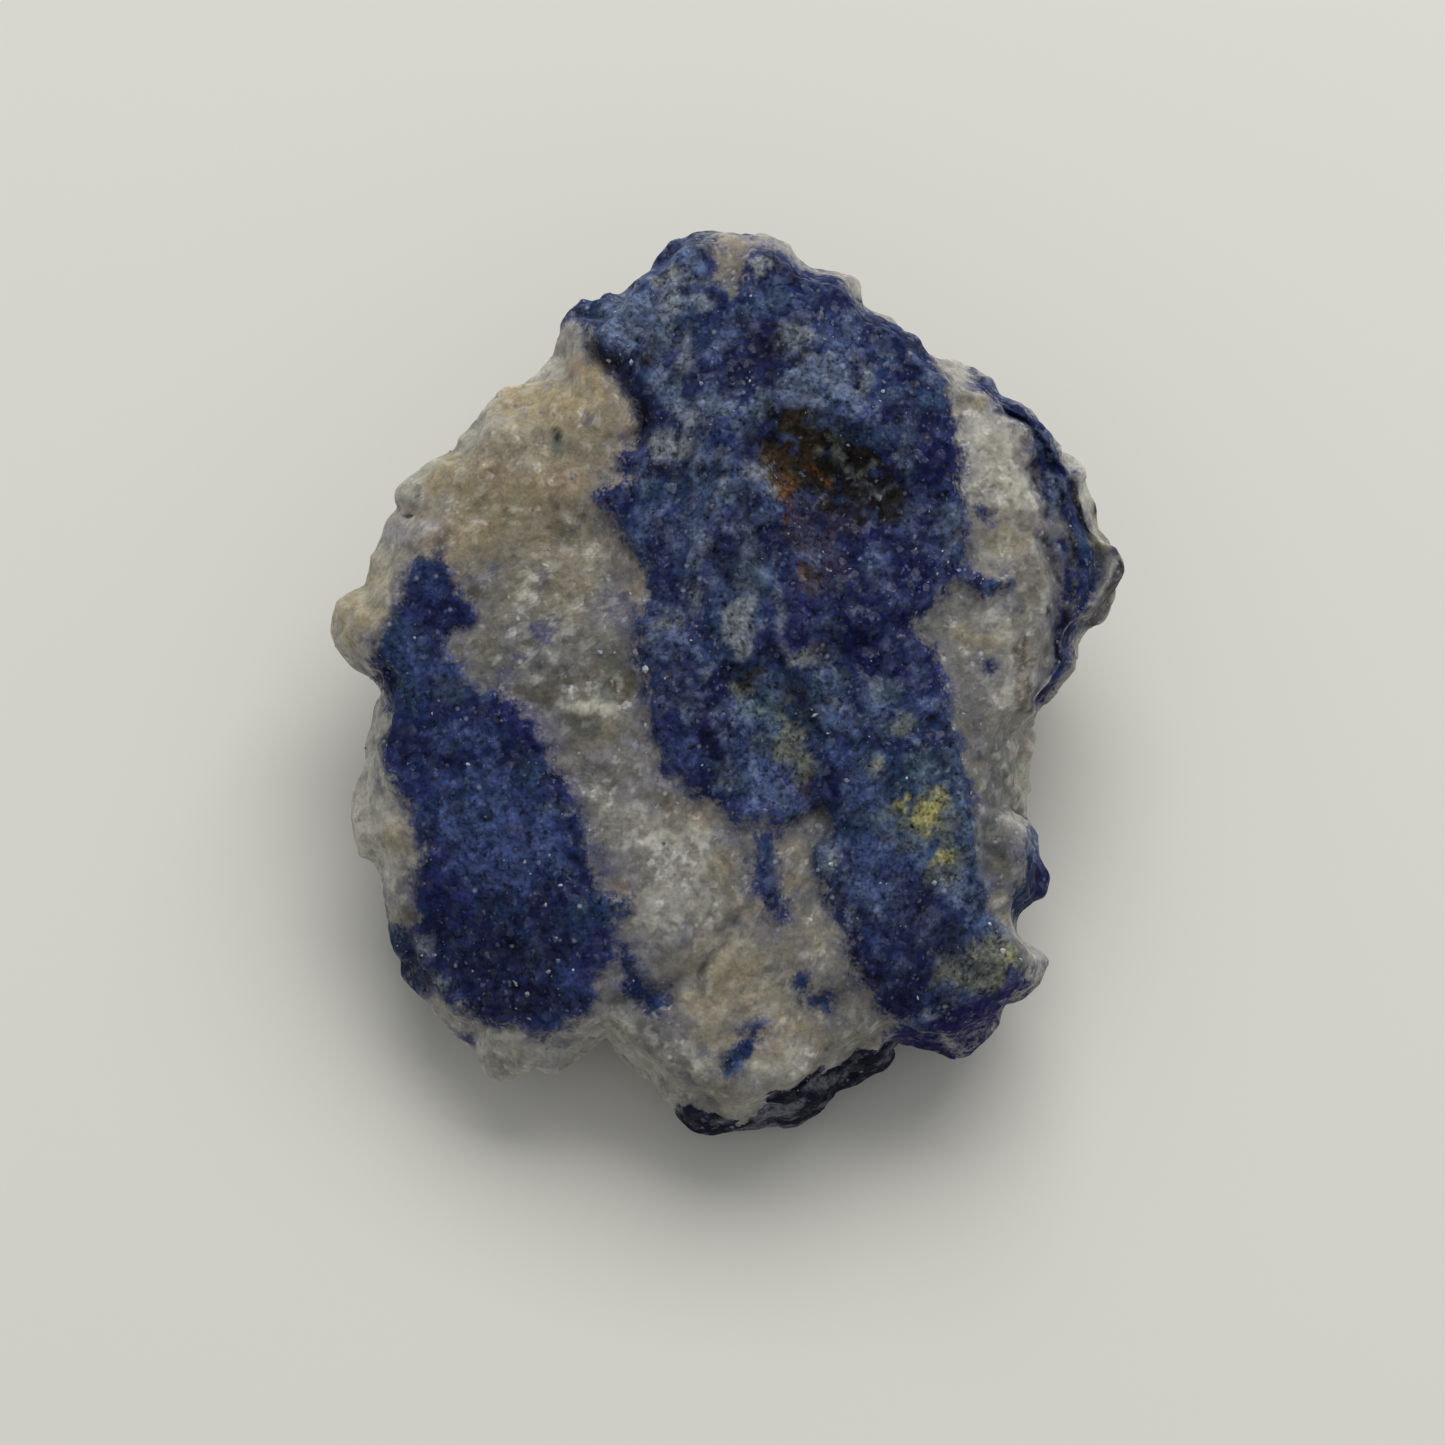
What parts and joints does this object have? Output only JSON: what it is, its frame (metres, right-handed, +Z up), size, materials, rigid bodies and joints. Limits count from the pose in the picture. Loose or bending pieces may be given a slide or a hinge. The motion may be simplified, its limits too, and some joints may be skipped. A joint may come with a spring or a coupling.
{
  "type": "rough dumortierite in quartz",
  "caption": "Hand-sized chip of rough blue dumortierite veined through pale quartz, lying on a flat broken face with its best face turned up.",
  "frame": {"origin": "middle of the bounding box, on the flat broken face that the stone rests on", "axes": "+Z up from the resting face; +Y along the stone's length, towards its thick end; +X across it, towards the side with the stepped blue layers"},
  "size_m": [0.0374, 0.0416, 0.0173],
  "materials": {
    "blue_veined_quartz": "rough sugary break, deep blue dumortierite veins in grey-white quartz with rust and yellow-green stains"
  },
  "bodies": {
    "root": {"rough_stone": "blue_veined_quartz"}
  },
  "joints": []
}
